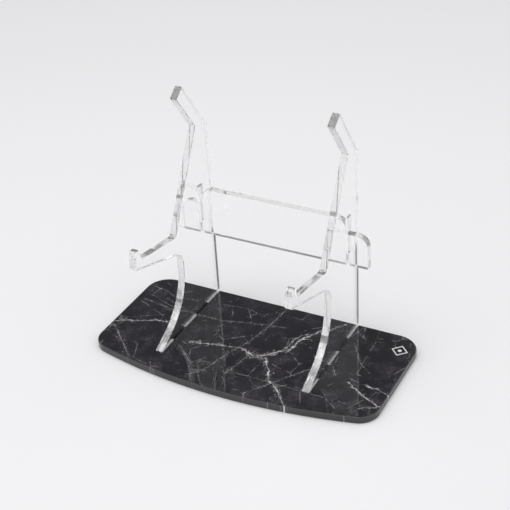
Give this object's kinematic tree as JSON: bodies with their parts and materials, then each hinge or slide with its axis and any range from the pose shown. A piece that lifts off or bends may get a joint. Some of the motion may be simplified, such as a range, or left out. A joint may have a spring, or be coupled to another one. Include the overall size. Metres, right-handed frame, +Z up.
{
  "type": "razor stand",
  "caption": "Clear acrylic cradle stand: slotted side plates with forward arms, locked by a cross panel, on a glossy black marble-look base with a bowed front.",
  "frame": {"origin": "middle of the base plate's footprint, on the surface that the stand rests on", "axes": "+X along the base from the left plate to the right plate as seen from the front; +Y towards the straight back edge, away from the arms; +Z up"},
  "size_m": [0.206, 0.102, 0.1756],
  "materials": {
    "marble_base": "black marble-look sheet with fine white and grey veins, polished to a mirror gloss",
    "clear_sheet": "clear colourless acrylic sheet with polished cut edges"
  },
  "bodies": {
    "root": {"base_plate": "marble_base", "side_plate_left": "clear_sheet", "side_plate_right": "clear_sheet", "cross_panel": "clear_sheet"}
  },
  "joints": []
}
